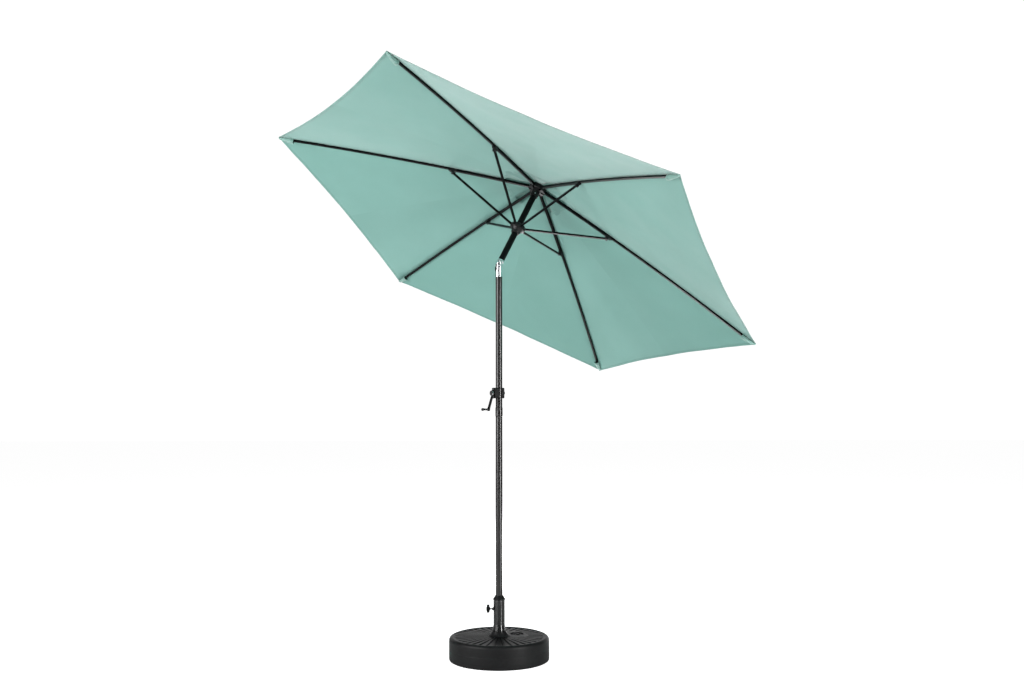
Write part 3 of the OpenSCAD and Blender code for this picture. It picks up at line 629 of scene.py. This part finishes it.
def vent_surface(i):
    reach = (VENT_CAP_R - RIB_PIN_R) / math.cos(RIB_DROOP + 0.007)
    edge_r, edge_z = rib_point(reach, CLOTH_LIFT + 0.010)
    top_z = CROWN_TOP + 0.0006
    turn = turn_to_rib(i)

    def surface(u, v):
        t = abs(v)
        r = VENT_IN_R + (edge_r - VENT_IN_R) * u
        x, y = across_panel(r, v)
        out = max(r - CROWN_FLAT_R, 0) / (edge_r - CROWN_FLAT_R)
        belly = math.sin(math.pi * out)
        z = top_z + (edge_z - top_z) * out + 0.004 * belly
        # it hangs in a soft fold between the ribs, with smaller puckers beside each one
        fold = -VENT_FOLD * belly ** 0.7 * sag_share(t)
        pucker = VENT_PUCKER * belly * math.sin(math.pi * 3 * t) * (1 - t)
        q = turn @ Vector((x, y, z))
        z += fold + pucker + noise.noise(q * 18.0) * 0.004 * belly
        off_rib = t * r / 2
        return (x, y, z), (r, math.copysign(off_rib, v), 3 + 0.1 * i), (off_rib, edge_r - r, r)

    return surface


def panel_area(surface):
    """The area of a sheet's surface, one side, in square metres."""
    grid = [[Vector(surface(a / 30, -1 + b / 10)[0]) for b in range(21)] for a in range(31)]
    total = 0.0
    for a in range(30):
        for b in range(20):
            p, q, r, s = grid[a][b], grid[a + 1][b], grid[a + 1][b + 1], grid[a][b + 1]
            total += ((q - p).cross(r - p).length + (r - p).cross(s - p).length) / 2
    return total


def tip_pocket(i):
    """The sewn pocket under the canopy's corner that the rib's end sits in."""
    place = rib_matrix(i)
    rows, cols = 14, 28
    mouth = CANOPY_LEN - POCKET_LEN - 0.004
    verts, flat, edge = [], [], []
    for a in range(rows + 1):
        u = a / rows
        s = mouth + (CANOPY_LEN - 0.002 - mouth) * u
        wide = 0.0085 * (1 - u) ** 0.8 + 0.0045
        deep = 0.0100 * (1 - u) ** 0.7 + 0.0022
        top = CLOTH_LIFT - 0.0006 - 0.0012 * u
        for b in range(cols):
            c = 2 * math.pi * b / cols
            y = wide * math.copysign(abs(math.cos(c)) ** 0.8, math.cos(c))
            drop = deep * (1 - math.copysign(abs(math.sin(c)) ** 0.7, math.sin(c)))
            wrinkle = noise.noise(Vector((s * 55, math.sin(c) * 1.2, i * 3.1 + math.cos(c))))
            crease = wrinkle * 0.0022 * min(1, u * 6 + 0.3)
            r, z = rib_point(s, top - drop + (crease if math.sin(c) < 0.4 else 0))
            verts.append(place @ Vector((r, y + crease * 0.5, z)))
            flat.append((s, wide * c, 7 + 0.1 * i))
            edge.append((0.05, s - mouth, wide * c))
    faces = [
        (a * cols + b, a * cols + (b + 1) % cols, (a + 1) * cols + (b + 1) % cols, (a + 1) * cols + b)
        for a in range(rows) for b in range(cols)
    ]
    faces.append(tuple(rows * cols + b for b in range(cols)))
    obj = new_piece(f"tip_pocket_{i}", verts, faces, LIT_POCKET_CLOTH)
    add_vectors(obj, cloth=flat, edge=edge)
    thicken(obj, 0.0007, -1)
    return obj


POCKET_AREA = 0.03
VENT_HEM_AREA = 0.003


def cover_rib(i):
    """The panel, the vent cap's sector and the tip pocket on rib i, and how they follow it."""
    place = rib_matrix(i)
    rib = f"rib_{i}"
    panel = cloth_sheet(f"canopy_{i}", i, main_surface(i), CLOTH)
    vent = cloth_sheet(f"vent_cap_{i}", i, vent_surface(i), SHADED_VENT_CLOTH)
    pocket = tip_pocket(i)
    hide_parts(f"canopy_gore_{i}")
    for piece in (panel, pocket):
        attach(piece, rib)

    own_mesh(panel)

    # the vent cap is clamped at the crown and sewn to the panels near its hem
    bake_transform(vent)

    area = panel_area(main_surface(i)) + POCKET_AREA
    area = panel_area(vent_surface(i)) + VENT_HEM_AREA


for i in RIBS:
    cover_rib(i)


# ---------- lift cord, from the pulley to the runner ----------

CORD_R = 0.00125
CORD_TURN_R = 0.00925


def cord_piece(name, points):
    """A cord through the points."""
    line = bpy.data.curves.new(name, "CURVE")
    line.dimensions = "3D"
    line.bevel_depth = CORD_R
    line.bevel_resolution = 3
    line.use_fill_caps = True
    run = line.splines.new("POLY")
    run.points.add(len(points) - 1)
    for p, at in zip(run.points, points):
        p.co = (*at, 1)
    curve = bpy.data.objects.new(name, line)
    bpy.context.scene.collection.objects.link(curve)
    dg = bpy.context.evaluated_depsgraph_get()
    mesh = bpy.data.meshes.new_from_object(curve.evaluated_get(dg))
    bpy.data.objects.remove(curve)
    obj = bpy.data.objects.new(name, mesh)
    bpy.context.scene.collection.objects.link(obj)
    mesh.materials.append(CORD)
    mesh.shade_smooth()
    return obj


def lift_cord():
    """The cord inside the tilting pole and over its pulley, and the run outside it down to the runner."""
    pulley = joints["pulley_turn"]
    axis = Vector(pulley["axis"]).normalized()
    outward = axis.cross(POLE_UP).normalized()
    middle = Vector(pulley["pos_m"])
    height = (middle - TILT_PIVOT).dot(POLE_UP)
    inside = outward * -CORD_TURN_R
    inner = [middle + inside - POLE_UP * d for d in np.linspace(height - 0.008, 0, 24)]
    over = [
        middle + inside * math.cos(a) + POLE_UP * CORD_TURN_R * math.sin(a)
        for a in np.linspace(0.15, math.pi, 16)
    ]
    hidden = cord_piece("lift_cord_inside", inner + over)
    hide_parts("lift_cord_upper")
    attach(hidden, "tilting_pole")
    top = middle + outward * CORD_TURN_R
    corners = [Vector(v.co) for v in nodes["runner"].data.vertices]
    runner_top = max((c - TILT_PIVOT).dot(POLE_UP) for c in corners)
    foot = top - POLE_UP * (height - runner_top + 0.004)
    outside = cord_piece("lift_cord_outside", [top.lerp(foot, k / 40) for k in range(41)])
    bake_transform(outside)


lift_cord()


# ---------- floor, camera and light ----------

# what the camera sees of the floor and the room, and the room's own weak light on the object
FLOOR_GLOW = 0.93
ROOM_SEEN = 1.05
ROOM_LIGHT = 0.06


def make_floor():
    bpy.ops.mesh.primitive_plane_add(size=60, location=(0, 0, 0))
    floor = bpy.context.object
    floor.name = "floor"
    n = Nodes("floor")
    glow = n.shader(Base_Color=(0.9, 0.9, 0.9), Roughness=0.9)
    glow.inputs["Emission Color"].default_value = (1, 1, 1, 1)
    seen = n.ramp(n.add("ShaderNodeLightPath").outputs["Is Camera Ray"], 0, 1, 0, FLOOR_GLOW)
    n.put(glow, "Emission Strength", seen)
    n.finish(glow)
    floor.data.materials.append(n.mat)


def make_camera():
    cam = bpy.data.objects.new("camera", bpy.data.cameras.new("camera"))
    bpy.context.scene.collection.objects.link(cam)
    bpy.context.scene.camera = cam
    cam.data.lens = 39.88
    cam.data.sensor_width = 36
    cam.location = (0, -5.736, 1.299)
    yaw, pitch, roll = 0.0115, 0.0505, -0.0012
    ahead = Vector((math.sin(yaw) * math.cos(pitch), math.cos(yaw) * math.cos(pitch), math.sin(pitch)))
    look = ahead.to_track_quat("-Z", "Y").to_matrix() @ Matrix.Rotation(roll, 3, "Z")
    cam.rotation_euler = look.to_euler()


def area_light(name, at, to, size, power):
    """A soft white panel that lights the object but isn't seen itself."""
    lamp = bpy.data.lights.new(name, "AREA")
    lamp.shape = "RECTANGLE"
    lamp.size, lamp.size_y = size
    lamp.energy = power
    obj = bpy.data.objects.new(name, lamp)
    bpy.context.scene.collection.objects.link(obj)
    obj.location = at
    obj.visible_camera = False
    obj.rotation_euler = (Vector(to) - Vector(at)).to_track_quat("-Z", "Y").to_euler()


def make_world():
    world = bpy.data.worlds.new("studio")
    bpy.context.scene.world = world
    world.use_nodes = True
    tree = world.node_tree
    back = tree.nodes["Background"]
    back.inputs["Color"].default_value = (1, 1, 1, 1)
    path = tree.nodes.new("ShaderNodeLightPath")
    seen = tree.nodes.new("ShaderNodeMapRange")
    seen.inputs["To Min"].default_value = ROOM_LIGHT
    seen.inputs["To Max"].default_value = ROOM_SEEN
    tree.links.new(path.outputs["Is Camera Ray"], seen.inputs["Value"])
    tree.links.new(seen.outputs["Result"], back.inputs["Strength"])


make_floor()
make_camera()
make_world()

# two narrow strips draw the poles' stripes, and the horizon gives the base's deck its sheen
area_light("left_strip", (-3.0, -4.3, 1.6), (0.0, 0.0, 1.3), (0.35, 3.2), 40)
area_light("right_strip", (3.7, -3.5, 1.6), (0.0, 0.0, 1.3), (0.6, 3.2), 215)
area_light("left_front", (-4.6, -2.5, 2.3), (0.2, 0.2, 2.2), (2.6, 3.0), 246)
area_light("low_back", (1.6, 3.4, 0.03), (1.6, 3.3, 5.0), (4.4, 2.4), 425)
area_light("horizon", (0.0, 6.5, 1.6), (0.0, 0.0, 0.6), (9.0, 2.2), 85)
area_light("top", (0.5, 1.0, 6.5), (0.2, 0.4, 2.0), (5, 5), 84)

bpy.context.scene.view_settings.view_transform = "Standard"
